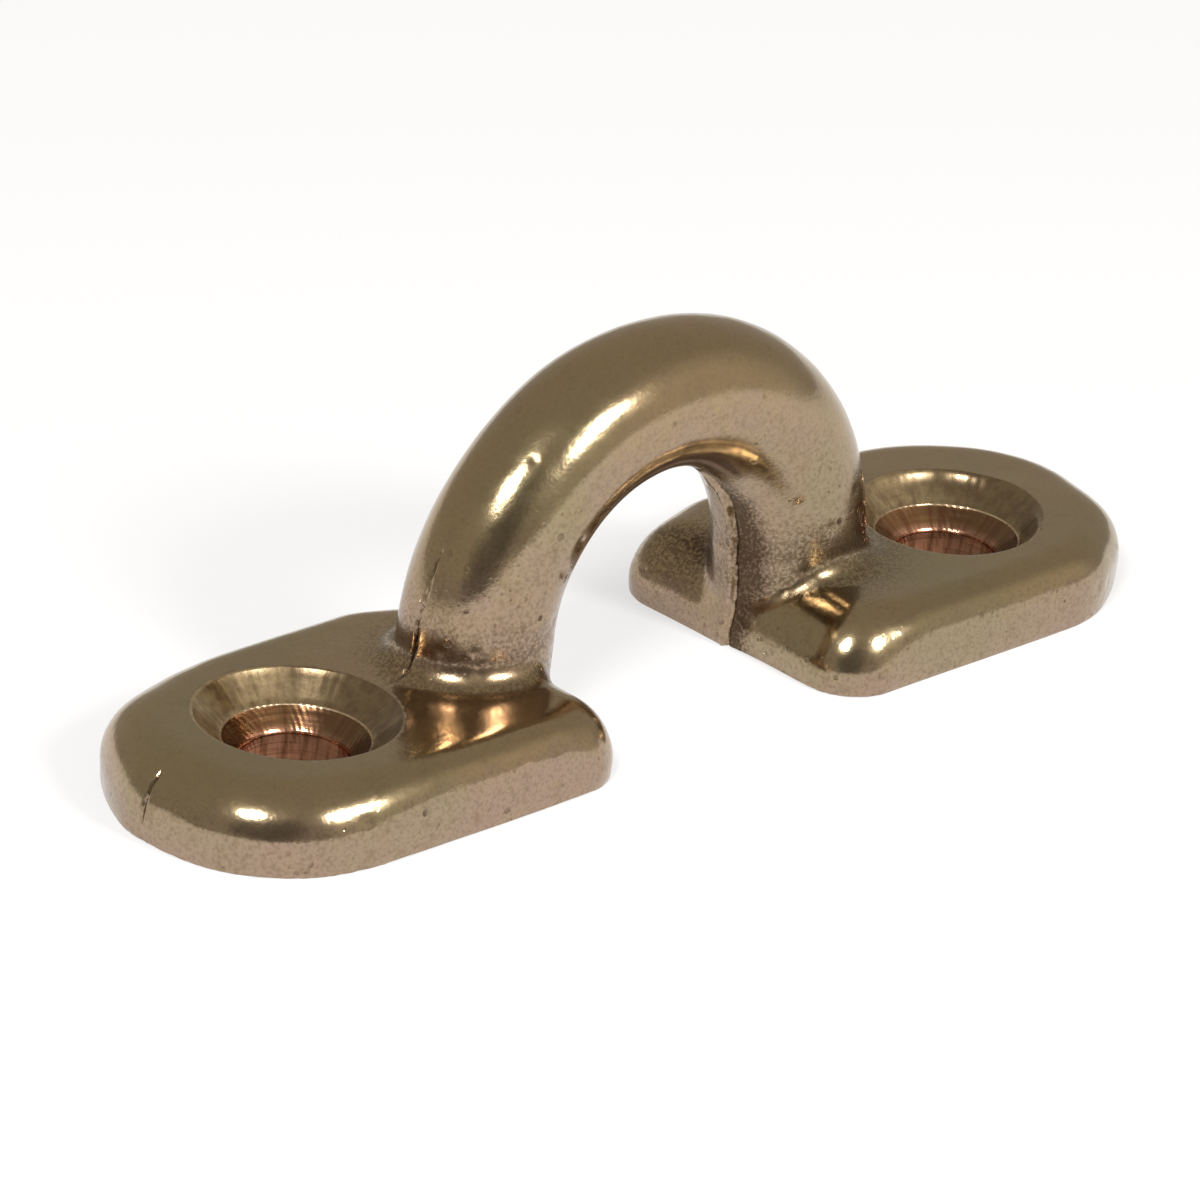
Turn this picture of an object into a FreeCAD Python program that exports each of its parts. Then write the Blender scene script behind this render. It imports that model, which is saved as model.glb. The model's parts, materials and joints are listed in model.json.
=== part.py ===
"""Pad eye: a bow of round bar standing on two separate screw feet, cast in one piece of bronze.

Millimetres. +X runs along the feet, +Y across them, +Z up. The origin is the middle of the base,
on the plane that the feet are screwed down to.
"""

import FreeCAD, Part
import math
import os

from FreeCAD import Vector

# Feet
OVERALL_LENGTH = 79.3
LEFT_FOOT_WIDTH = 21.1
RIGHT_FOOT_WIDTH = 21.8
FOOT_HEIGHT = 5.15
FOOT_GAP = 17.2
INNER_CORNER_RADIUS = 3.7
TOP_EDGE_RADIUS = 3.6
BASE_EDGE_RADIUS = 0.4

# Bow
BOW_RADIUS = 13.35
BOW_SPRING_HEIGHT = 5.8
BOW_DEPTH = 9.7
BOW_WIDTH = 8.9
BOW_SQUARENESS = 2.1
ROOT_FILLET_RADIUS = 1.8

# Screw holes, each as the radius and height of its rings from the rim down to the shank's bore.
# They were drilled by hand, so the right one sits nearer the bow and a little off the middle line.
LEFT_HOLE = Vector(-27.5, 0, 0)
RIGHT_HOLE = Vector(26.9, -1.2, 0)
BORE_RADIUS = 3.25
LEFT_RINGS = [(6.4, FOOT_HEIGHT), (4.5, 3.45), (BORE_RADIUS, 2.2)]
RIGHT_RINGS = [(6.3, FOOT_HEIGHT), (4.7, 3.35), (BORE_RADIUS, 2.4)]

# Not dimensions: points on the bow's section, how far the cutters overrun, and what counts as touching
SECTION_POINTS = 24
CUT_MARGIN = 5.0
SAME = 1e-3


def foot_outline(width):
    """The plan of a foot at +X: a straight inner end with rounded corners, and a half-round tip."""
    half = width / 2
    inner = FOOT_GAP / 2
    tip = OVERALL_LENGTH / 2
    centre = tip - half
    corner = INNER_CORNER_RADIUS
    bulge = corner * (1 - math.sqrt(0.5))
    sides = [
        Part.LineSegment(Vector(inner, half - corner, 0), Vector(inner, corner - half, 0)),
        Part.Arc(
            Vector(inner, corner - half, 0),
            Vector(inner + bulge, bulge - half, 0),
            Vector(inner + corner, -half, 0),
        ),
        Part.LineSegment(Vector(inner + corner, -half, 0), Vector(centre, -half, 0)),
        Part.Arc(Vector(centre, -half, 0), Vector(tip, 0, 0), Vector(centre, half, 0)),
        Part.LineSegment(Vector(centre, half, 0), Vector(inner + corner, half, 0)),
        Part.Arc(
            Vector(inner + corner, half, 0),
            Vector(inner + bulge, half - bulge, 0),
            Vector(inner, half - corner, 0),
        ),
    ]
    return Part.Wire([side.toShape() for side in sides])


def edges_at_height(shape, height):
    """The edges that lie wholly on one level."""
    return [
        edge
        for edge in shape.Edges
        if abs(edge.BoundBox.ZMin - height) < 1e-4 and abs(edge.BoundBox.ZMax - height) < 1e-4
    ]


def foot(width):
    """A foot at +X, a slab with a well rounded top edge and a slightly eased base edge."""
    slab = Part.Face(foot_outline(width)).extrude(Vector(0, 0, FOOT_HEIGHT))
    slab = slab.makeFillet(TOP_EDGE_RADIUS, edges_at_height(slab, FOOT_HEIGHT))
    return slab.makeFillet(BASE_EDGE_RADIUS, edges_at_height(slab, 0))


def power(value, exponent):
    """A power that keeps its sign, for the section's formula."""
    return math.copysign(abs(value) ** exponent, value)


def bow_section():
    """The bow's cross-section at the foot of the +X leg, a superellipse between round and square."""
    exponent = 2 / BOW_SQUARENESS
    points = []
    for step in range(SECTION_POINTS):
        angle = 2 * math.pi * step / SECTION_POINTS
        x = BOW_RADIUS + BOW_DEPTH / 2 * power(math.cos(angle), exponent)
        y = BOW_WIDTH / 2 * power(math.sin(angle), exponent)
        points.append(Vector(x, y, 0))
    curve = Part.BSplineCurve()
    curve.interpolate(points, PeriodicFlag=True)
    return Part.Wire([curve.toShape()])


def bow():
    """The bow: two upright legs that reach down to the base, and a half circle over them."""
    left = Vector(-BOW_RADIUS, 0, BOW_SPRING_HEIGHT)
    right = Vector(BOW_RADIUS, 0, BOW_SPRING_HEIGHT)
    crown = Vector(0, 0, BOW_SPRING_HEIGHT + BOW_RADIUS)
    spine = Part.Wire(
        [
            Part.LineSegment(Vector(BOW_RADIUS, 0, 0), right).toShape(),
            Part.Arc(right, crown, left).toShape(),
            Part.LineSegment(left, Vector(-BOW_RADIUS, 0, 0)).toShape(),
        ]
    )
    return spine.makePipeShell([bow_section()], True, True)


def screw_hole(rings):
    """What is cut away for one screw, on the Z axis: its profile, turned round."""
    rim_radius = rings[0][0]
    profile = [Vector(0, 0, FOOT_HEIGHT + CUT_MARGIN), Vector(rim_radius, 0, FOOT_HEIGHT + CUT_MARGIN)]
    profile += [Vector(radius, 0, height) for radius, height in rings]
    profile += [Vector(BORE_RADIUS, 0, -CUT_MARGIN), Vector(0, 0, -CUT_MARGIN)]
    face = Part.Face(Part.makePolygon(profile + profile[:1]))
    return face.revolve(Vector(0, 0, 0), Vector(0, 0, 1), 360)


def middle(edge):
    """A vertex half way along an edge."""
    return Part.Vertex(edge.valueAt((edge.FirstParameter + edge.LastParameter) / 2))


def root_edges(body, legs, feet):
    """The edges where the legs meet the feet: those that lie on the skins of both."""
    skins = [legs.Shells[0]] + [one.Shells[0] for one in feet]
    found = []
    for edge in body.Edges:
        point = middle(edge)
        on_legs = skins[0].distToShape(point)[0] < SAME
        on_feet = min(skin.distToShape(point)[0] for skin in skins[1:]) < SAME
        if on_legs and on_feet:
            found.append(edge)
    return found


def casting():
    """The whole pad eye: feet and bow in one, their roots filleted, then the screw holes."""
    right_foot = foot(RIGHT_FOOT_WIDTH)
    left_foot = foot(LEFT_FOOT_WIDTH).mirror(Vector(0, 0, 0), Vector(1, 0, 0))
    legs = bow()
    body = legs.fuse([right_foot, left_foot]).removeSplitter()
    body = body.makeFillet(ROOT_FILLET_RADIUS, root_edges(body, legs, [right_foot, left_foot]))
    left_hole = screw_hole(LEFT_RINGS)
    left_hole.translate(LEFT_HOLE)
    right_hole = screw_hole(RIGHT_RINGS)
    right_hole.translate(RIGHT_HOLE)
    body = body.cut([left_hole, right_hole])
    return body


def main():
    os.makedirs("parts", exist_ok=True)
    shape = casting()
    if not shape.isValid() or len(shape.Solids) != 1:
        raise RuntimeError("the casting is not one sound solid")
    shape.Solids[0].exportStep("parts/pad_eye_casting.step")


main()
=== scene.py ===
import json
import math

import bmesh
import bpy
import numpy as np
from mathutils import Matrix, Vector
from mathutils.kdtree import KDTree


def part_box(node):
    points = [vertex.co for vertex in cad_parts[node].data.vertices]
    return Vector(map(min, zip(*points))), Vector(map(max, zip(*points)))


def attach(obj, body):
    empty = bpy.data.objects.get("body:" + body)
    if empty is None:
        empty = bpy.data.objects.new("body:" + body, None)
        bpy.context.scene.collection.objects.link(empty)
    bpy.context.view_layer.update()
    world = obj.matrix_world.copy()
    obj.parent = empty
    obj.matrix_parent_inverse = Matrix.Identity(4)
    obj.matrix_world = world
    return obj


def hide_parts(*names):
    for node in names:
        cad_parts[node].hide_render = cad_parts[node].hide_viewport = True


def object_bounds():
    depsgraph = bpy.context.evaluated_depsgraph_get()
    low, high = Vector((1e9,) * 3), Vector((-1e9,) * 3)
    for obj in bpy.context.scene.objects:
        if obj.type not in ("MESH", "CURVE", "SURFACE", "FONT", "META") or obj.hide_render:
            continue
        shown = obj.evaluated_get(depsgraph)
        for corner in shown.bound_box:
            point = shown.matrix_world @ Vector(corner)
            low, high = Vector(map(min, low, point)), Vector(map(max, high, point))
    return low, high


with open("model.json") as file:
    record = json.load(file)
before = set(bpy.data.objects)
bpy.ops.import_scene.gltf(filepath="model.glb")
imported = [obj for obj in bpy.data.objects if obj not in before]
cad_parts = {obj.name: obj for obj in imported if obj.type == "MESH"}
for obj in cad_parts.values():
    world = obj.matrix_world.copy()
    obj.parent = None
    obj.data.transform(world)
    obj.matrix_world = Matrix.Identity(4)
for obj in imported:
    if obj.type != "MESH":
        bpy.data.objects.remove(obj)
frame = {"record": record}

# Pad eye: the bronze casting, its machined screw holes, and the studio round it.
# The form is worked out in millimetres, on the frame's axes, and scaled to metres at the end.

NODE = "pad_eye_casting"
MM = 0.001

CAD_LOW, CAD_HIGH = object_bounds()
NODE_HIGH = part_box(NODE)[1]
MOUNTS = {mount["name"]: mount for mount in frame["record"]["mounts"]}

# Feet. The left one is a little narrower, and each was ground and stands a little off the CAD's lines.
TIP = NODE_HIGH.x / MM
RIGHT_HALF_WIDTH = NODE_HIGH.y / MM
LEFT_HALF_WIDTH = RIGHT_HALF_WIDTH - 0.35
TIP_CENTRE = TIP - RIGHT_HALF_WIDTH
LEFT_HEIGHT = 5.15
RIGHT_HEIGHT = 5.02
LEFT_FOOT_SHIFT = (-0.10, -0.20)
RIGHT_FOOT_SHIFT = (-0.15, -0.25)
LEFT_INNER_END = 9.1
RIGHT_INNER_END = 8.5
CORNER_RADIUS = 3.7
SIDE_EDGE_RADIUS = 2.4
LEFT_TIP_EDGE_RADIUS = 3.5
RIGHT_TIP_EDGE_RADIUS = 2.9
INNER_TOP_RADIUS = 4.4
WIDEST_HEIGHT = 1.8
BASE_DRAW = 0.12
BASE_EDGE_RADIUS = 0.12

# Swells and flats that hand grinding left round each tip: middle in degrees from the tip's
# own direction, half width in degrees, and height in millimetres
LEFT_TIP_RADIUS = 10.45
LEFT_GRINDING = ((-36, 24, 0.46), (-62, 13, 0.17), (8, 10, 0.13), (54, 17, 0.44))
RIGHT_TIP_RADIUS = 10.9
RIGHT_GRINDING = ((30, 18, 0.14), (-13, 14, -0.40), (-58, 14, -0.22))

# Bow
BOW_RADIUS = 13.35
BOW_TOP = NODE_HIGH.z / MM
CROWN_DEPTH = 4.78
ROOT_DEPTH = 5.15
BOW_SPRING = 6.15
BOW_RISE = BOW_TOP - BOW_SPRING - CROWN_DEPTH
BOW_WIDTH = 4.43
BOW_SQUARENESS = 2.0
LEG_LEAN = 0.073
RIGHT_LEG_SHIFT = 0.2
OUTER_FILLET = 1.7
INNER_FILLET = 0.7

# Parting line: the step between the mould halves, the sink of its crease and the flash along it
PARTING_STEP_PLACE = 0.35
STEP_EVERYWHERE = 0.02
STEP_INNER_RIGHT = 0.34
STEP_HALF_WIDTH = 0.08
STEP_WIDENING = 0.12
CREASE_PLACE = -0.14
CREASE_HALF_WIDTH = 0.09
FLASH_PLACE = 0.12
FLASH_HALF_WIDTH = 0.12
FLASH_HEIGHT = 0.14

# Screw holes: seats are the radius and height of the land between each hole's two cones
HOLE_MIDDLE = Vector(MOUNTS["screw_holes"]["pos_m"]) / MM
HOLE_LINE_TURN = math.radians(-1.26)
HOLE_LINE = Vector((math.cos(HOLE_LINE_TURN), math.sin(HOLE_LINE_TURN)))
HOLE_REACH = MOUNTS["screw_holes"]["dims"]["pcd_mm"] / 2 * HOLE_LINE
BORE_RADIUS = MOUNTS["screw_holes"]["dims"]["hole_r_mm"]
LEFT_RIM_RADIUS = 6.4
RIGHT_RIM_RADIUS = 6.05
LEFT_SEAT = (4.48, 3.42)
RIGHT_SEAT = (4.60, 3.30)
LEFT_BORE_TOP = 2.2
RIGHT_BORE_TOP = 2.1
LEFT_LIP_RADIUS = 0.35
RIGHT_LIP_RADIUS = 0.75
RIGHT_OVAL = 0.7
BORE_RIB = 0.022
LIP_ANGLES = (150, 140, 130, 120, 110)
LIP_SLOPE = 20
LIP_OVERRUN = 0.4
OVAL_HEIGHTS = (3.4, 4.45)
OVAL_TURN = math.pi / 4

# Cutter: how many rings each stretch has, where its ends are, and the land's edges, out and up from the seat
BORE_RINGS = 16
CONE_RINGS = 7
RIM_RINGS = 5
CUTTER_BOTTOM = -2.0
BORE_BOTTOM = -0.5
CUTTER_RISE = 4.0
CUTTER_SPREAD = 0.45
LAND_INNER = (0.04, 0.06)
LAND_OUTER = (0.11, 0.08)

# Material slots of the casting, after the cast skin in slot 0
WORN, FRESH, BARE = 1, 2, 3

# Chatter marks of the cutters: waves round each hole, their slant down it and their depth
CHATTER_WAVES = 60
CHATTER_SLANT = 10.0
CHATTER_DEPTH = {WORN: 0.011, FRESH: 0.028, BARE: 0.0}
BORE_CHATTER = 0.012
LIP_CHATTER = 0.004
HOLE_SEGMENTS = 4 * CHATTER_WAVES

# The net that the form is drawn with, finer in a band about the parting line
CELL = 0.27
FINE_CELL = 0.1
FINE_BAND = (-1.2, 0.5)
WELD = 0.01
SHARP_ANGLE = math.radians(38)

# Wear: how far oxide reaches from the roots of the legs, and the pits that the casting left
LEFT_ROOT_STAIN_REACH = 2.1
RIGHT_ROOT_STAIN_REACH = 3.2
PITS = 150
PIT_RADII = (0.24, 0.42)
PIT_DEPTHS = (0.12, 0.30)
SEED = 7

# Colours of the metal
GOLD = (0.400, 0.296, 0.172)
ROSE = (0.380, 0.275, 0.200)
OLIVE = (0.330, 0.280, 0.160)
UMBER = (0.200, 0.125, 0.070)
# Dark brown for real oxide, also used for painted shade in the holes and on the right foot's inner faces.
OXIDE_AND_SHADE = (0.092, 0.059, 0.035)
PIT_BROWN = (0.100, 0.060, 0.038)
WORN_GOLD = (0.560, 0.430, 0.240)
WORN_BROWN = (0.400, 0.290, 0.170)
FRESH_GOLD = (0.340, 0.190, 0.088)
FRESH_COPPER = (0.260, 0.118, 0.058)
FRESH_RED = (0.800, 0.420, 0.280)
# The bare land's gold below is partly a painted sheen on the edge between the cones.
BARE_SHEEN_GOLD = (0.600, 0.460, 0.300)
BARE_BROWN = (0.380, 0.270, 0.165)

# Studio, in metres: the floor, with what is left dark under each hole, the lamps and the room.
# A room patch is a direction, the cosines where it is full and where it ends, and its brightness.
FLOOR_REACH = 3.0
FLOOR_GAP = 0.00002
SHADE_HALF = 5
UNDER_HOLES = (6, 8)
LAMPS = (("lamp_left", (-0.302, -0.160, 0.366)), ("lamp_right", (0.056, -0.40, 0.294)))
LAMP_TARGET = Vector((0, 0, 0.01))
LAMP_SIZE = 0.12
LAMP_POWER = 1.7
ROOM_LEVEL = 0.43
ROOM_COLOR = (1.0, 0.93, 0.82, 1)
ROOM_PATCHES = (
    ((0.62, -0.76, 0.17), 0.97, 0.70, 0.24),
    ((-0.66, -0.66, 0.36), 0.97, 0.84, -0.24),
)

# Camera: heading from +Y toward +X, fall below the horizon and roll, in degrees, and its place
CAMERA_ANGLES = (45.09, 24.98, -4.84)
CAMERA_PLACE = Vector((-284.64, -280.84, 191.37))
CAMERA_LENS = 213.34


def length(*parts):
    """The length of a vector given by its components."""
    return np.sqrt(sum(part * part for part in parts))


def ramp(value, low, high):
    """A smooth climb from 0 at low to 1 at high."""
    t = np.clip((value - low) / (high - low), 0, 1)
    return t * t * (3 - 2 * t)


def mix(a, b, share):
    """A value between a and b, by share."""
    return a + (b - a) * share


def hump(value, middle, half_width):
    """A smooth hump, 1 at its middle and falling off to 0 on both sides."""
    return np.exp(-(((value - middle) / half_width) ** 2))


def rounded_corner(a, b, radius):
    """The larger of two distances, with the corner between them rounded off."""
    u = np.maximum(a + radius, 0)
    v = np.maximum(b + radius, 0)
    return length(u, v) + np.minimum(np.maximum(a, b), -radius)


def filleted_join(a, b, radius):
    """The smaller of two distances, with the inside corner between them filled to a radius."""
    u = np.maximum(radius - a, 0)
    v = np.maximum(radius - b, 0)
    return np.maximum(np.minimum(a, b), radius) - length(u, v)


class Ripple:
    """Soft random unevenness: plane waves in seeded directions."""

    def __init__(self, seed, wavelength, waves=9):
        draw = np.random.default_rng(seed)
        direction = draw.normal(size=(waves, 3))
        direction /= np.linalg.norm(direction, axis=1)[:, None]
        stretch = draw.uniform(0.7, 1.5, size=(waves, 1))
        self.wave = direction * stretch * 2 * math.pi / wavelength
        self.phase = draw.uniform(0, 2 * math.pi, waves)

    def __call__(self, x, y, z):
        total = 0
        for (a, b, c), phase in zip(self.wave, self.phase):
            total = total + np.sin(a * x + b * y + c * z + phase)
        return total / math.sqrt(len(self.phase))


BROAD = Ripple(SEED, wavelength=11.0)
BROAD_HEIGHT = 0.035
CLOSE = Ripple(SEED + 1, wavelength=3.2)
CLOSE_HEIGHT = 0.006


def tip_radius(angle, base, grinding):
    """Radius of a foot's tip in a direction, in degrees from the tip's own direction."""
    radius = base + 0 * angle
    for middle, half_width, height in grinding:
        radius = radius + height * hump(angle, middle, half_width)
    return radius


def foot_distance(x, y, z):
    """Distance to the feet, which are slabs with a well rounded top edge."""
    left = x < 0
    x = x - np.where(left, LEFT_FOOT_SHIFT[0], RIGHT_FOOT_SHIFT[0])
    y = y - np.where(left, LEFT_FOOT_SHIFT[1], RIGHT_FOOT_SHIFT[1])
    inner_end = np.where(left, LEFT_INNER_END, RIGHT_INNER_END)
    half_width = np.where(left, LEFT_HALF_WIDTH, RIGHT_HALF_WIDTH)
    inner_half = rounded_corner(inner_end - np.abs(x), np.abs(y) - half_width, CORNER_RADIUS)
    along = np.abs(x) - TIP_CENTRE
    angle = np.degrees(np.arctan2(y, along))
    left_tip = tip_radius(angle, LEFT_TIP_RADIUS, LEFT_GRINDING)
    right_tip = tip_radius(angle, RIGHT_TIP_RADIUS, RIGHT_GRINDING)
    outer_half = length(along, y) - np.where(left, left_tip, right_tip)
    plan = mix(inner_half, outer_half, ramp(along, -2.0, 2.0))
    below = np.clip(1 - z / WIDEST_HEIGHT, 0, 1)
    plan = plan + BASE_DRAW * below * below
    tip_edge = np.where(left, LEFT_TIP_EDGE_RADIUS, RIGHT_TIP_EDGE_RADIUS)
    near_inner_end = 1 - ramp(np.abs(x), inner_end + 1.5, inner_end + 7.0)
    edge = mix(SIDE_EDGE_RADIUS, tip_edge, ramp(along, -4.0, 5.0))
    edge = edge + (INNER_TOP_RADIUS - SIDE_EDGE_RADIUS) * near_inner_end
    return rounded_corner(plan, z - np.where(left, LEFT_HEIGHT, RIGHT_HEIGHT), edge)


def bow_distance(x, y, z):
    """Distance to the bow: two legs from the base, and a half ring over them."""
    x = x - RIGHT_LEG_SHIFT * ramp(x, 0.0, 13.0)
    rise = np.maximum(z - BOW_SPRING, 0) * BOW_RADIUS / BOW_RISE
    lean = LEG_LEAN * np.maximum(BOW_SPRING - z, 0)
    off_line = length(x, rise) - BOW_RADIUS - lean
    crown = np.clip(rise / BOW_RADIUS, 0, 1)
    depth = mix(ROOT_DEPTH, CROWN_DEPTH, crown)
    power = BOW_SQUARENESS
    a = np.abs(off_line) / depth + 1e-6
    b = np.abs(y) / BOW_WIDTH
    level = (a**power + b**power) ** (1 / power)
    slope = level ** (1 - power) * length(a ** (power - 1) / depth, b ** (power - 1) / BOW_WIDTH)
    return (level - 1) / slope


def inner_right(x, z):
    """1 on the inner face of the right leg and foot, where the mould halves met badly."""
    return ramp(x, 0.0, 3.0) * ramp(-x, -12.0, -10.0) * (1 - ramp(z, 10.0, 14.0))


def parting(x, y, z):
    """How far a point is beyond the parting line, which wanders a little about the middle plane."""
    wander = 0.05 * np.sin(z * 0.9 + 1.0) + 0.04 * np.sin(z * 2.3) + 0.03 * np.sin(z * 6.1 + x)
    return y - wander + PARTING_STEP_PLACE * inner_right(x, z)


def crease(x, z):
    """How deep the parting line is sunk: on the left tip, the left leg and its root, and by the step."""
    tip = ramp(-x, 37.5, 39.0) * ramp(z, 0.8, 1.6) * (1 - ramp(z, 4.6, 5.2))
    leg = ramp(-x, 13.0, 15.0) * ramp(20.0 + x, 0.0, 1.0) * ramp(z, 6.0, 8.0) * (1 - ramp(z, 12.0, 15.0))
    root = ramp(-x, 17.0, 18.0) * ramp(21.4 + x, 0.0, 0.8) * ramp(z, 5.0, 5.6) * (1 - ramp(z, 7.2, 8.6))
    return 0.20 * tip + 0.11 * leg + 0.28 * root + 0.12 * inner_right(x, z)


def form(x, y, z):
    """Distance to the whole casting, before its holes are drilled."""
    beyond = parting(x, y, z)
    flashed = inner_right(x, z)
    step = STEP_EVERYWHERE + STEP_INNER_RIGHT * flashed
    half_width = STEP_HALF_WIDTH + STEP_WIDENING * flashed
    moved = x + step * ramp(beyond, -half_width, half_width)
    fillet = mix(INNER_FILLET, OUTER_FILLET, ramp(np.abs(x), 9.5, 14.0))
    solid = filleted_join(foot_distance(moved, y, z), bow_distance(moved, y, z), fillet)
    solid = solid + BROAD_HEIGHT * BROAD(x, y, z) + CLOSE_HEIGHT * CLOSE(x, y, z)
    solid = solid + crease(x, z) * hump(beyond, CREASE_PLACE, CREASE_HALF_WIDTH)
    solid = solid - FLASH_HEIGHT * flashed * hump(beyond, FLASH_PLACE, FLASH_HALF_WIDTH)
    return rounded_corner(solid, -z, BASE_EDGE_RADIUS)


def oxide_and_shade(x, y, z):
    """0 on open metal, up to 1 in the roots where dark oxide stays, darker along the parting crease, with a
    painted step shadow running into pitted grime beside the flash, and painted shade on the far half of the
    right inner faces.
    """
    foot = foot_distance(x, y, z)
    bow = bow_distance(x, y, z)
    reach = np.where(x < 0, LEFT_ROOT_STAIN_REACH, RIGHT_ROOT_STAIN_REACH)
    root = hump(np.maximum(foot, bow), 0, reach) * ramp(z, 3.0, 5.0)
    collar = hump(bow, 0, 0.8) * ramp(z, 6.0, 7.0) * (1 - ramp(z, 7.6, 11.0))
    beyond = parting(x, y, z)
    flashed = inner_right(x, z)
    # Beside the flash: a painted shadow of the step, running into pitted grime further from it.
    beside_flash = flashed * ramp(-beyond, 0.05, 0.25) * (1 - ramp(-beyond, 0.6, 2.6))
    sunk = np.clip(crease(x, z) * 6, 0, 1) * (1 - flashed)
    line = sunk * hump(beyond, -0.13, CREASE_HALF_WIDTH)
    # The far half of the right leg's and foot's inner faces, fading out toward the floor: painted shade.
    far_side = flashed * ramp(beyond, 1.5, 4.0) * ramp(z, 0.0, 3.0)
    return np.clip(0.55 * root + 0.25 * collar + beside_flash + 0.5 * line + 0.45 * far_side, 0, 1)


def polish(x, y, z, normals):
    """1 where tumbling rubs the metal most, on tops and outward bends, down to 0 on the lower sides."""
    return np.clip(ramp(normals[:, 2], -0.1, 0.8) + 0.5 * ramp(z, 8.0, 20.0), 0, 1)


def grid_lines(low, high, cell):
    """Evenly spaced net lines."""
    return np.linspace(low, high, int(round((high - low) / cell)) + 1)


def graded_lines(limit):
    """Net lines across the object, closer together near the parting line."""
    low, high = FINE_BAND
    near = grid_lines(-limit, low, CELL)[:-1]
    middle = grid_lines(low, high, FINE_CELL)
    far = grid_lines(high, limit, CELL)[1:]
    return np.concatenate([near, middle, far])


CORNERS = [(i, j, k) for i in (0, 1) for j in (0, 1) for k in (0, 1)]
CELL_EDGES = [
    (a, b)
    for a in range(8)
    for b in range(a + 1, 8)
    if sum(abs(p - q) for p, q in zip(CORNERS[a], CORNERS[b])) == 1
]


def surface_net(distance, xs, ys, zs):
    """Points and quads on the zero surface of a distance function."""
    values = distance(xs[:, None, None], ys[None, :, None], zs[None, None, :])
    inside = values < 0
    shape = tuple(n - 1 for n in values.shape)
    count = np.zeros(shape, dtype=np.int8)
    for i, j, k in CORNERS:
        count += inside[i : i + shape[0], j : j + shape[1], k : k + shape[2]]
    cells = np.argwhere((count > 0) & (count < 8))
    corner_values = []
    corner_points = []
    for corner in CORNERS:
        i, j, k = (cells + np.array(corner)).T
        corner_values.append(values[i, j, k])
        corner_points.append(np.stack([xs[i], ys[j], zs[k]], axis=1))
    total = np.zeros((len(cells), 3))
    crossings = np.zeros(len(cells))
    for a, b in CELL_EDGES:
        crosses = (corner_values[a] < 0) != (corner_values[b] < 0)
        gap = np.where(crosses, corner_values[a] - corner_values[b], 1)
        share = np.where(crosses, corner_values[a] / gap, 0)[:, None]
        point = corner_points[a] + share * (corner_points[b] - corner_points[a])
        total += point * crosses[:, None]
        crossings += crosses
    points = total / crossings[:, None]
    number = np.full(shape, -1, dtype=np.int64)
    number[tuple(cells.T)] = np.arange(len(cells))
    quads = []
    for axis in range(3):
        near = inside.take(range(values.shape[axis] - 1), axis)
        far = inside.take(range(1, values.shape[axis]), axis)
        i, j, k = np.nonzero(near != far)
        u = [(0, 1, 0), (0, 0, 1), (1, 0, 0)][axis]
        v = [(0, 0, 1), (1, 0, 0), (0, 1, 0)][axis]
        ring = [
            number[i - u[0] * p - v[0] * q, j - u[1] * p - v[1] * q, k - u[2] * p - v[2] * q]
            for p, q in ((1, 1), (0, 1), (0, 0), (1, 0))
        ]
        quad = np.stack(ring, axis=1)
        flip = ~near[i, j, k]
        quad[flip] = quad[flip][:, ::-1]
        quads.append(quad)
    return points, np.concatenate(quads)


def settle(points, distance, rounds=3, step=0.01):
    """Moves points straight onto the zero surface and returns them with their normals."""
    x, y, z = points.T.copy()
    for _ in range(rounds):
        here = distance(x, y, z)
        slope = np.stack(
            [
                distance(x + step, y, z) - distance(x - step, y, z),
                distance(x, y + step, z) - distance(x, y - step, z),
                distance(x, y, z + step) - distance(x, y, z - step),
            ]
        ) / (2 * step)
        size = np.maximum((slope * slope).sum(0), 0.05)
        move = np.clip(here / size, -0.1, 0.1)
        x, y, z = x - slope[0] * move, y - slope[1] * move, z - slope[2] * move
    normals = (slope / np.linalg.norm(slope, axis=0)).T
    return np.stack([x, y, z], axis=1), normals


def mesh_object(name, points, faces, materials=()):
    """A mesh object from points in millimetres."""
    mesh = bpy.data.meshes.new(name)
    mesh.from_pydata((points * MM).tolist(), [], [list(face) for face in faces])
    mesh.update()
    for material in materials:
        mesh.materials.append(material)
    item = bpy.data.objects.new(name, mesh)
    bpy.context.scene.collection.objects.link(item)
    return item


def sloping_rings(start, end, count, slot):
    """Rings of one material, evenly spaced down a straight slope, without the first."""
    shares = [step / count for step in range(1, count + 1)]
    return [
        (start[0] + (end[0] - start[0]) * t, start[1] + (end[1] - start[1]) * t, slot) for t in shares
    ]


def lip_rings(rim, foot_top, radius):
    """Rings up a hole's rounded edge, and on past the foot's top at the slope where they meet it."""
    top = math.radians(90 + LIP_SLOPE)
    rings = []
    for degrees in LIP_ANGLES:
        angle = math.radians(degrees)
        out = math.cos(angle) - math.cos(top)
        up = math.sin(angle) - math.sin(top)
        rings.append((rim + radius * out, foot_top + radius * up, WORN))
    rise = LIP_OVERRUN * math.tan(math.radians(LIP_SLOPE))
    return rings + [(rim + LIP_OVERRUN, foot_top + rise, WORN)]


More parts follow.
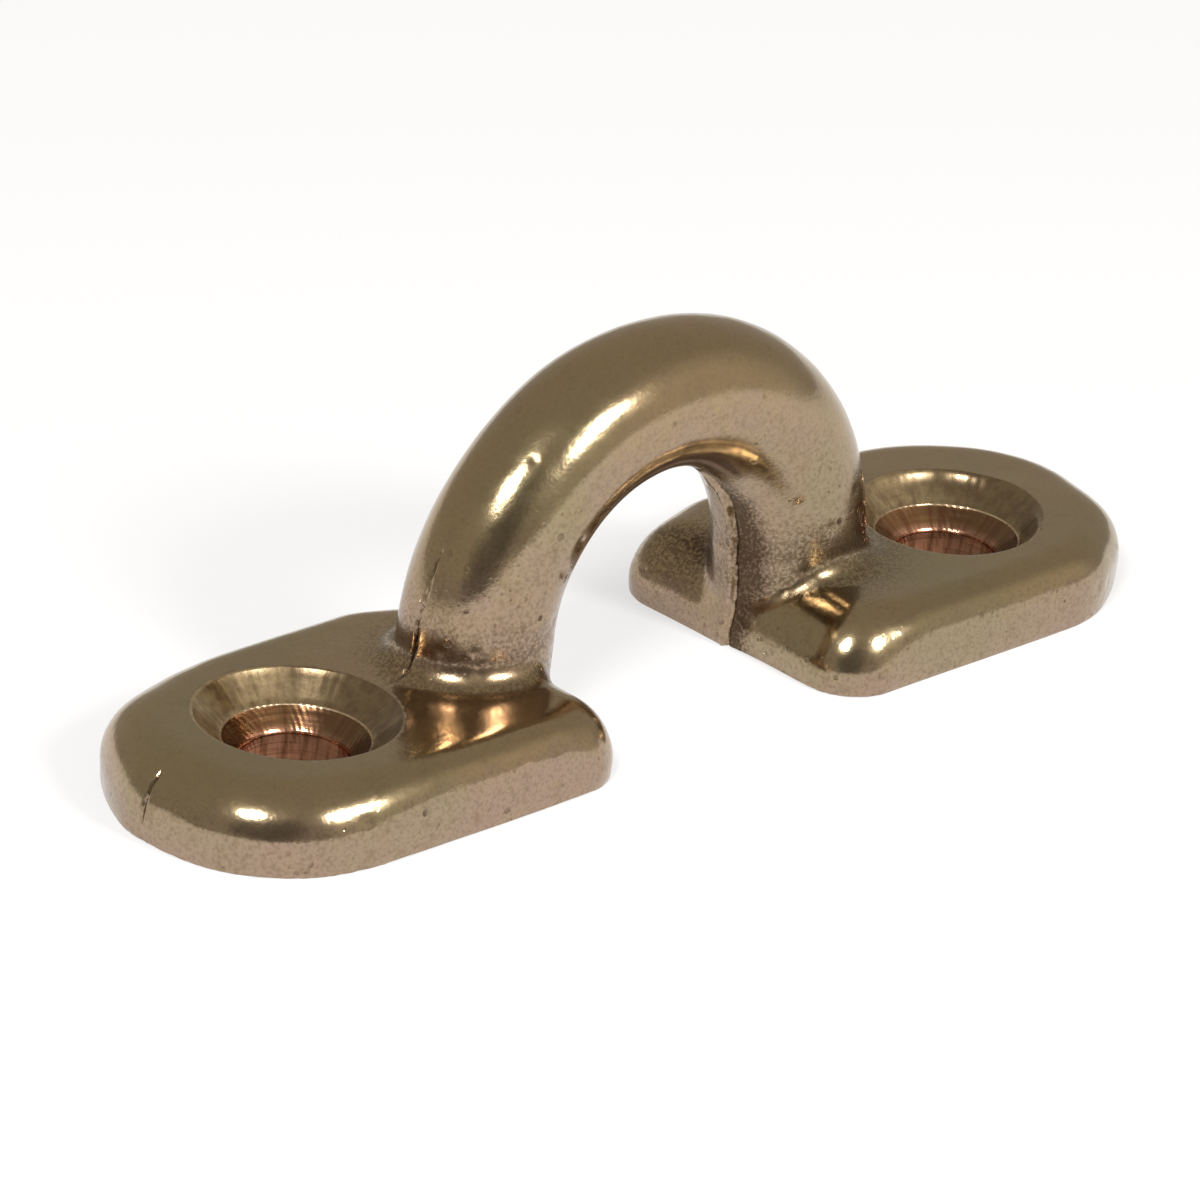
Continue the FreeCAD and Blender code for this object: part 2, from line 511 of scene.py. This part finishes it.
def cutter_profile(rim, foot_top, seat, bore_top, lip_radius):
    """Radius, height and material of the rings of a drill and countersink, from below upwards."""
    bore = sloping_rings((BORE_RADIUS, BORE_BOTTOM), (BORE_RADIUS, bore_top), BORE_RINGS, FRESH)
    land_inner = (seat[0] + LAND_INNER[0], seat[1] + LAND_INNER[1])
    land_outer = (seat[0] + LAND_OUTER[0], seat[1] + LAND_OUTER[1])
    lip = lip_rings(rim, foot_top, lip_radius)
    rings = [(BORE_RADIUS, CUTTER_BOTTOM, FRESH)]
    for step, (radius, height, slot) in enumerate(bore):
        rings.append((radius + BORE_RIB * (step % 2), height, slot))
    rings += sloping_rings((BORE_RADIUS, bore_top), seat, CONE_RINGS, FRESH)
    rings += [(*land_inner, BARE), (*land_outer, BARE)]
    rings += sloping_rings(land_outer, lip[0][:2], RIM_RINGS, WORN)
    rings += lip[1:]
    rings += [(rim + CUTTER_SPREAD, foot_top + CUTTER_RISE, WORN)]
    return rings


def chatter_depth(radius, height, slot):
    """How deep the chatter marks are on one ring: faint at the lip, shallow down the bore."""
    if height > LEFT_HEIGHT - 0.4:
        return LIP_CHATTER
    if radius < BORE_RADIUS + 0.05:
        return BORE_CHATTER
    return CHATTER_DEPTH[slot]


def screw_cutter(side, materials):
    """The solid that a drill and countersink take away, with their chatter marks."""
    if side > 0:
        rings = cutter_profile(
            RIGHT_RIM_RADIUS, RIGHT_HEIGHT, RIGHT_SEAT, RIGHT_BORE_TOP, RIGHT_LIP_RADIUS
        )
        oval = RIGHT_OVAL
    else:
        rings = cutter_profile(LEFT_RIM_RADIUS, LEFT_HEIGHT, LEFT_SEAT, LEFT_BORE_TOP, LEFT_LIP_RADIUS)
        oval = 0
    centre_x = HOLE_MIDDLE.x + side * HOLE_REACH.x
    centre_y = HOLE_MIDDLE.y + side * HOLE_REACH.y
    turn = np.arange(HOLE_SEGMENTS) * 2 * math.pi / HOLE_SEGMENTS
    draw = np.random.default_rng(SEED + 20 + side)
    wander = sum(
        draw.uniform(0.2, 0.6) * np.sin(n * turn + draw.uniform(0, 2 * math.pi)) for n in (1, 2, 3, 5)
    )
    points = []
    for radius, height, slot in rings:
        wave = np.sin(CHATTER_WAVES * turn + wander - CHATTER_SLANT * min(height, LEFT_SEAT[1]))
        r = radius + chatter_depth(radius, height, slot) * wave * (0.6 + 0.4 * np.sin(7 * turn + height))
        r = r + oval * ramp(height, *OVAL_HEIGHTS) * np.cos(turn - OVAL_TURN) ** 2
        across = centre_x + r * np.cos(turn)
        along = centre_y + r * np.sin(turn)
        points.append(np.stack([across, along, turn * 0 + height], 1))
    n = HOLE_SEGMENTS
    faces = []
    slots = []
    for row in range(1, len(rings)):
        for i in range(n):
            j = (i + 1) % n
            faces.append(((row - 1) * n + i, (row - 1) * n + j, row * n + j, row * n + i))
            slots.append(rings[row][2])
    faces.append(tuple(range(n))[::-1])
    slots.append(FRESH)
    faces.append(tuple(range((len(rings) - 1) * n, len(rings) * n)))
    slots.append(WORN)
    cutter = mesh_object(f"cutter_{side}", np.concatenate(points), faces, materials)
    cutter.data.polygons.foreach_set("material_index", slots)
    return cutter


def weld(mesh):
    """Merges points that nearly touch, to clear the slivers that the cutting leaves."""
    work = bmesh.new()
    work.from_mesh(mesh)
    bmesh.ops.remove_doubles(work, verts=work.verts, dist=WELD * MM)
    bmesh.ops.dissolve_degenerate(work, edges=work.edges, dist=WELD * MM)
    work.to_mesh(mesh)
    work.free()


def drilled(body, cutters):
    """The body with the cutters taken away."""
    for cutter in cutters:
        modifier = body.modifiers.new("drill", "BOOLEAN")
        modifier.operation = "DIFFERENCE"
        modifier.solver = "EXACT"
        modifier.object = cutter
        modifier.material_mode = "TRANSFER"
    bpy.context.view_layer.update()
    evaluated = body.evaluated_get(bpy.context.evaluated_depsgraph_get())
    mesh = bpy.data.meshes.new_from_object(evaluated)
    weld(mesh)
    body.modifiers.clear()
    body.data = mesh
    for cutter in cutters:
        bpy.data.objects.remove(cutter)
    return body


def pitted(points, normals, oxide_and_shade_mask, count):
    """The points, with casting pits pressed in along their normals, clear of the parting line."""
    draw = np.random.default_rng(SEED + 3)
    side = (1.05 - np.abs(normals[:, 2])) ** 2
    clear = (points[:, 2] > 0.3) & (np.abs(parting(*points.T)) > 0.4)
    chance = (side + 3.0 * oxide_and_shade_mask) * clear
    centres = draw.choice(len(points), count, replace=False, p=chance / chance.sum())
    tree = KDTree(len(points))
    for index, point in enumerate(points):
        tree.insert(point, index)
    tree.balance()
    depth = np.zeros(len(points))
    for centre in centres:
        radius = draw.uniform(*PIT_RADII)
        sunk = radius * draw.uniform(*PIT_DEPTHS)
        for _, index, away in tree.find_range(points[centre], radius * 2.4):
            depth[index] = max(depth[index], sunk * math.exp(-((away / radius) ** 2)))
    return points - normals * depth[:, None]


class Shader:
    """A material's node tree, with short ways to add and join nodes."""

    def __init__(self, name):
        self.material = bpy.data.materials.new(name)
        self.material.use_nodes = True
        self.tree = self.material.node_tree
        self.out = self.tree.nodes["Principled BSDF"]
        self.place = self.add("ShaderNodeTexCoord").outputs["Object"]

    def add(self, kind, **settings):
        """A new node of a kind, with its settings."""
        node = self.tree.nodes.new(kind)
        for key, value in settings.items():
            setattr(node, key, value)
        return node

    def feed(self, socket, value):
        """Joins a node's output to an input, or sets the input to a plain value."""
        if isinstance(value, bpy.types.NodeSocket):
            self.tree.links.new(value, socket)
        else:
            socket.default_value = value

    def noise(self, scale, detail=3.0, roughness=0.5, stretch=None, turn=(0, 0, 0), warp=0.0, place=None):
        """Noise from 0 to 1, with its scale in features per metre."""
        node = self.add("ShaderNodeTexNoise")
        place = place or self.place
        if stretch:
            mapping = self.add("ShaderNodeMapping")
            self.feed(mapping.inputs["Vector"], place)
            self.feed(mapping.inputs["Scale"], stretch)
            self.feed(mapping.inputs["Rotation"], turn)
            place = mapping.outputs[0]
        self.feed(node.inputs["Vector"], place)
        self.feed(node.inputs["Scale"], scale)
        self.feed(node.inputs["Detail"], detail)
        self.feed(node.inputs["Roughness"], roughness)
        self.feed(node.inputs["Distortion"], warp)
        return node.outputs["Fac"]

    def span(self, value, low, high, to_low=0.0, to_high=1.0):
        """A value spread smoothly from one range to another."""
        node = self.add("ShaderNodeMapRange", interpolation_type="SMOOTHSTEP")
        for socket, number in zip(node.inputs, (value, low, high, to_low, to_high)):
            self.feed(socket, number)
        return node.outputs[0]

    def math(self, operation, a, b=0.0, clamp=False):
        """The result of a sum on one or two values."""
        node = self.add("ShaderNodeMath", operation=operation, use_clamp=clamp)
        self.feed(node.inputs[0], a)
        self.feed(node.inputs[1], b)
        return node.outputs[0]

    def blend(self, share, a, b):
        """Colour a, turning to colour b as share goes from 0 to 1."""
        node = self.add("ShaderNodeMix", data_type="RGBA")
        self.feed(node.inputs["Factor"], share)
        colors = [socket for socket in node.inputs if socket.type == "RGBA"]
        for socket, color in zip(colors, (a, b)):
            self.feed(socket, (*color, 1) if isinstance(color, tuple) else color)
        return [socket for socket in node.outputs if socket.type == "RGBA"][0]

    def from_hole(self):
        """Distances in metres from the middle of the nearer screw hole's base, along X, Y and Z."""
        axes = self.add("ShaderNodeSeparateXYZ")
        self.feed(axes.inputs[0], self.place)
        side = self.math("SIGN", axes.outputs["X"])
        from_middle = []
        for name, middle, reach in zip("XY", HOLE_MIDDLE * MM, HOLE_REACH * MM):
            hole = self.math("ADD", self.math("MULTIPLY", side, reach), middle)
            from_middle.append(self.math("SUBTRACT", axes.outputs[name], hole))
        return *from_middle, axes.outputs["Z"]

    def round_hole(self):
        """Place on a hole's wall with little change down the wall, so that noise there makes streaks."""
        across, along, height = self.from_hole()
        turn = self.math("ARCTAN2", along, across)
        place = self.add("ShaderNodeCombineXYZ")
        self.feed(place.inputs["X"], self.math("MULTIPLY", turn, LEFT_SEAT[0] * MM))
        self.feed(place.inputs["Y"], self.math("MULTIPLY", height, 0.15))
        return place.outputs[0]

    def attribute(self, name):
        """A number stored on the mesh's points."""
        return self.add("ShaderNodeAttribute", attribute_name=name).outputs["Fac"]

    def specks(self, scale, share, reach, soft):
        """Small round spots, 1 inside: the share of cells with a spot, its reach and its soft edge."""
        node = self.add("ShaderNodeTexVoronoi")
        self.feed(node.inputs["Vector"], self.place)
        self.feed(node.inputs["Scale"], scale)
        channels = self.add("ShaderNodeSeparateColor")
        self.feed(channels.inputs[0], node.outputs["Color"])
        size = self.span(channels.outputs[0], 1 - share, 1.0, -soft, reach)
        away = self.math("SUBTRACT", size, node.outputs["Distance"])
        return self.span(away, 0.0, soft)

    def bump(self, height, distance, below=None):
        """A normal tilted by a height, in metres of distance, on top of the bump below it."""
        node = self.add("ShaderNodeBump")
        self.feed(node.inputs["Height"], height)
        node.inputs["Distance"].default_value = distance
        node.inputs["Strength"].default_value = 1.0
        if below is not None:
            self.feed(node.inputs["Normal"], below)
        return node.outputs[0]

    def finish(self, color, roughness, normal):
        self.feed(self.out.inputs["Base Color"], color)
        self.out.inputs["Metallic"].default_value = 1.0
        self.feed(self.out.inputs["Roughness"], roughness)
        self.feed(self.out.inputs["Normal"], normal)
        return self.material


def cast_bronze():
    """Tumbled bronze: mottled gold and rose, specked with fine pits, dark with oxide in its crevices and
    with painted shade on the right foot's inner faces.
    """
    s = Shader("bronze_cast")
    oxide_and_shade_at = s.attribute("oxide_and_shade")
    polish_at = s.attribute("polish")
    mottle = s.noise(380, 4, 0.65, warp=0.5)
    cloud = s.noise(75, 2)
    grain = s.noise(4200, 2, 0.6)
    peel = s.noise(1100, 3, 0.6)
    crust = s.noise(4400, 3, 0.65)
    hue = s.math("ADD", polish_at, s.span(mottle, 0.3, 0.7, -0.35, 0.35), clamp=True)
    tone = s.blend(hue, ROSE, GOLD)
    tone = s.blend(s.span(cloud, 0.45, 0.70, 0.0, 0.6), tone, OLIVE)
    rawness = s.span(polish_at, 0.2, 1.0, 1.0, 0.35)
    speckle = s.math("MULTIPLY", s.span(grain, 0.42, 0.72, 0.0, 0.34), rawness)
    tone = s.blend(speckle, tone, PIT_BROWN)
    bloom = s.math("MULTIPLY", s.span(peel, 0.50, 0.75, 0.0, 0.36), rawness)
    tone = s.blend(bloom, tone, UMBER)
    broken = s.span(crust, 0.36, 0.60, -0.6, 0.0)
    # The mask read here holds real oxide at the roots and painted shade beside the flash and on the far
    # inner faces; both darken the tone toward the dark brown.
    heavy = s.math("ADD", s.math("MULTIPLY", oxide_and_shade_at, 1.3), broken, clamp=True)
    tone = s.blend(heavy, tone, OXIDE_AND_SHADE)
    bare = s.math("SUBTRACT", 1.15, polish_at, clamp=True)
    where = s.math("MAXIMUM", s.math("MULTIPLY", bare, s.span(mottle, 0.40, 0.60)), oxide_and_shade_at)
    fine = s.math("MULTIPLY", s.specks(2000, 0.50, 0.40, 0.12), where)
    coarse = s.math("MULTIPLY", s.specks(900, 0.30, 0.28, 0.06), where)
    pits = s.math("MAXIMUM", s.math("MULTIPLY", fine, 0.5), coarse)
    tone = s.blend(s.math("MULTIPLY", pits, 0.85), tone, PIT_BROWN)
    rough = s.span(mottle, 0.3, 0.7, 0.13, 0.20)
    rough = s.math("ADD", rough, s.math("MULTIPLY", heavy, 0.20))
    rough = s.math("ADD", rough, s.math("MULTIPLY", pits, 0.20))
    streaks = s.noise(700, 3, 0.6, stretch=(1.0, 6.0, 1.4), turn=(0.5, 0.3, 0.6))
    normal = s.bump(grain, 0.000005)
    normal = s.bump(peel, 0.000012, normal)
    normal = s.bump(streaks, 0.000005, normal)
    normal = s.bump(s.math("SUBTRACT", 1.0, pits), 0.000025, normal)
    return s.finish(tone, rough, normal)


def worn_cut():
    """The countersink's upper cone, tumbled with the casting and streaked by its cutter, with painted shade
    on the +X side of each hole.
    """
    s = Shader("bronze_worn_cut")
    across, _, height = s.from_hole()
    mottle = s.noise(1300, 4, 0.65)
    streak = s.noise(1900, 3, 0.6, place=s.round_hole())
    tone = s.blend(s.span(mottle, 0.38, 0.62), WORN_GOLD, WORN_BROWN)
    low = s.span(height, 0.0046, 0.0034, 0.2, 0.7)
    tone = s.blend(s.math("MULTIPLY", low, s.span(streak, 0.45, 0.65)), tone, UMBER)
    # Painted shade: the wall on the +X side of each hole is blended toward the dark brown, standing in for
    # the dark part of the room that it reflects.
    painted_shade_side = s.span(across, 0.0016, 0.0050, 0.0, 0.65)
    tone = s.blend(painted_shade_side, tone, OXIDE_AND_SHADE)
    rough = s.span(streak, 0.3, 0.7, 0.20, 0.34)
    normal = s.bump(streak, 0.000014)
    normal = s.bump(s.noise(4200, 2), 0.000005, normal)
    return s.finish(tone, rough, normal)


def fresh_cut():
    """Bare drilled bronze, golden on the cone and redder down the bore, with fine turning lines and painted
    shade on the +X side of each hole.
    """
    s = Shader("bronze_fresh_cut")
    across, _, height = s.from_hole()
    lines = s.noise(700, 2, 0.5, stretch=(0.4, 0.4, 9.0))
    streak = s.noise(1800, 3, 0.6, place=s.round_hole())
    tone = s.blend(s.span(streak, 0.38, 0.62), FRESH_GOLD, FRESH_COPPER)
    deep = s.span(height, 0.00260, 0.00215)
    red = s.blend(s.span(streak, 0.42, 0.64, 0.0, 0.8), FRESH_RED, FRESH_COPPER)
    red = s.blend(s.span(lines, 0.48, 0.64, 0.0, 0.35), red, OXIDE_AND_SHADE)
    tone = s.blend(deep, tone, red)
    # Painted shade: the cut metal on the +X side of each hole is blended toward the dark brown.
    painted_shade_side = s.span(across, 0.0010, 0.0036, 0.0, 0.6)
    tone = s.blend(painted_shade_side, tone, OXIDE_AND_SHADE)
    rough = s.span(lines, 0.3, 0.7, 0.15, 0.26)
    normal = s.bump(lines, 0.000012)
    return s.finish(tone, rough, normal)


def bare_edge_with_sheen():
    """The narrow land between the two cones: bare metal rubbed bright, and partly a painted sheen along the
    edge.
    """
    s = Shader("bronze_bare_edge_with_sheen")
    wear = s.noise(1400, 3, 0.6)
    # The lighter gold here is partly bare metal and partly a painted sheen standing in for the light the
    # edge catches.
    tone = s.blend(s.span(wear, 0.35, 0.70), BARE_SHEEN_GOLD, BARE_BROWN)
    rough = s.span(wear, 0.3, 0.7, 0.28, 0.40)
    normal = s.bump(wear, 0.000004)
    return s.finish(tone, rough, normal)


def casting():
    """The bronze casting with its drilled holes."""
    xs = grid_lines(-TIP - 0.5, TIP + 0.5, CELL)
    ys = graded_lines(RIGHT_HALF_WIDTH + 0.5)
    zs = grid_lines(-0.4, BOW_TOP + 0.5, CELL)
    points, quads = surface_net(form, xs, ys, zs)
    points, normals = settle(points, form)
    # A mask of real oxide at the roots, with painted shade beside the flash and on the far inner faces.
    oxide_and_shade_mask = oxide_and_shade(*points.T)
    rubbed = polish(*points.T, normals)
    points = pitted(points, normals, oxide_and_shade_mask, PITS)
    materials = (cast_bronze(), worn_cut(), fresh_cut(), bare_edge_with_sheen())
    body = mesh_object("pad_eye", points, quads, materials)
    for name, values in (("oxide_and_shade", oxide_and_shade_mask), ("polish", rubbed)):
        layer = body.data.attributes.new(name, "FLOAT", "POINT")
        layer.data.foreach_set("value", values)
    cutters = [screw_cutter(side, materials) for side in (-1, 1)]
    body = drilled(body, cutters)
    body.data.shade_smooth()
    body.data.set_sharp_from_angle(angle=SHARP_ANGLE)
    print("pad eye faces", len(body.data.polygons), "vertices", len(body.data.vertices))
    return body


def area_light(name, place):
    """A soft round lamp that faces the casting."""
    data = bpy.data.lights.new(name, "AREA")
    data.shape = "DISK"
    data.size = LAMP_SIZE
    data.energy = LAMP_POWER
    lamp = bpy.data.objects.new(name, data)
    lamp.location = place
    lamp.rotation_euler = (LAMP_TARGET - Vector(place)).to_track_quat("-Z", "Y").to_euler()
    bpy.context.scene.collection.objects.link(lamp)


def paper(name, color, glow):
    """White paper for the floor, lit a little from below."""
    material = bpy.data.materials.new(name)
    material.use_nodes = True
    shader = material.node_tree.nodes["Principled BSDF"]
    shader.inputs["Base Color"].default_value = (*color, 1)
    shader.inputs["Roughness"].default_value = 0.9
    shader.inputs["Specular IOR Level"].default_value = 0.0
    shader.inputs["Emission Color"].default_value = (1, 1, 1, 1)
    shader.inputs["Emission Strength"].default_value = glow
    return material


def floor():
    """A white floor, which doesn't glow under the screw holes."""
    inner = (HOLE_REACH.x - SHADE_HALF) * MM
    outer = (HOLE_REACH.x + SHADE_HALF) * MM
    half = SHADE_HALF * MM
    xs = (-FLOOR_REACH, -outer, -inner, inner, outer, FLOOR_REACH)
    ys = (-FLOOR_REACH, -half, half, FLOOR_REACH)
    points = [(x, y, CAD_LOW.z - FLOOR_GAP) for y in ys for x in xs]
    faces = []
    for row in range(len(ys) - 1):
        for column in range(len(xs) - 1):
            a = row * len(xs) + column
            faces.append((a, a + 1, a + 1 + len(xs), a + len(xs)))
    mesh = bpy.data.meshes.new("floor")
    mesh.from_pydata(points, [], faces)
    mesh.materials.append(paper("floor_paper", (0.32, 0.32, 0.32), 0.64))
    mesh.materials.append(paper("floor_paper_in_shade", (0.30, 0.28, 0.25), 0.0))
    for face in UNDER_HOLES:
        mesh.polygons[face].material_index = 1
    item = bpy.data.objects.new("floor", mesh)
    bpy.context.scene.collection.objects.link(item)


def room():
    """A dim warm room, brighter low on the right and darker where the camera stands."""
    world = bpy.data.worlds.new("room")
    bpy.context.scene.world = world
    world.use_nodes = True
    tree = world.node_tree
    place = tree.nodes.new("ShaderNodeTexCoord")
    patches = []
    for direction, narrow, wide, level in ROOM_PATCHES:
        toward = tree.nodes.new("ShaderNodeVectorMath")
        toward.operation = "DOT_PRODUCT"
        toward.inputs[1].default_value = direction
        patch = tree.nodes.new("ShaderNodeMapRange")
        patch.interpolation_type = "SMOOTHSTEP"
        patch.inputs["From Min"].default_value = wide
        patch.inputs["From Max"].default_value = narrow
        patch.inputs["To Min"].default_value = 0.0
        patch.inputs["To Max"].default_value = level
        tree.links.new(place.outputs["Generated"], toward.inputs[0])
        tree.links.new(toward.outputs["Value"], patch.inputs["Value"])
        patches.append(patch.outputs["Result"])
    both = tree.nodes.new("ShaderNodeMath")
    both.operation = "ADD"
    total = tree.nodes.new("ShaderNodeMath")
    total.operation = "ADD"
    total.inputs[1].default_value = ROOM_LEVEL
    background = tree.nodes["Background"]
    background.inputs["Color"].default_value = ROOM_COLOR
    tree.links.new(patches[0], both.inputs[0])
    tree.links.new(patches[1], both.inputs[1])
    tree.links.new(both.outputs[0], total.inputs[0])
    tree.links.new(total.outputs[0], background.inputs["Strength"])


def studio():
    """A white floor, a dim room and two soft lamps."""
    floor()
    room()
    for name, place in LAMPS:
        area_light(name, place)


def camera():
    """The camera, at the photograph's angle."""
    azimuth, elevation, roll = (math.radians(angle) for angle in CAMERA_ANGLES)
    forward = Vector(
        (
            math.sin(azimuth) * math.cos(elevation),
            math.cos(azimuth) * math.cos(elevation),
            -math.sin(elevation),
        )
    )
    right = forward.cross(Vector((0, 0, 1))).normalized()
    down = forward.cross(right)
    turned_right = math.cos(roll) * right + math.sin(roll) * down
    turned_down = -math.sin(roll) * right + math.cos(roll) * down
    data = bpy.data.cameras.new("camera")
    data.sensor_width = 36
    data.lens = CAMERA_LENS
    data.clip_start = 0.01
    data.clip_end = 20
    item = bpy.data.objects.new("camera", data)
    axes = Matrix((turned_right, -turned_down, -forward)).transposed().to_4x4()
    item.matrix_world = Matrix.Translation(CAMERA_PLACE * MM) @ axes
    bpy.context.scene.collection.objects.link(item)
    bpy.context.scene.camera = item


bpy.context.scene.view_settings.view_transform = "Standard"
pad_eye = casting()
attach(pad_eye, "root")
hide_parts(NODE)
studio()
camera()
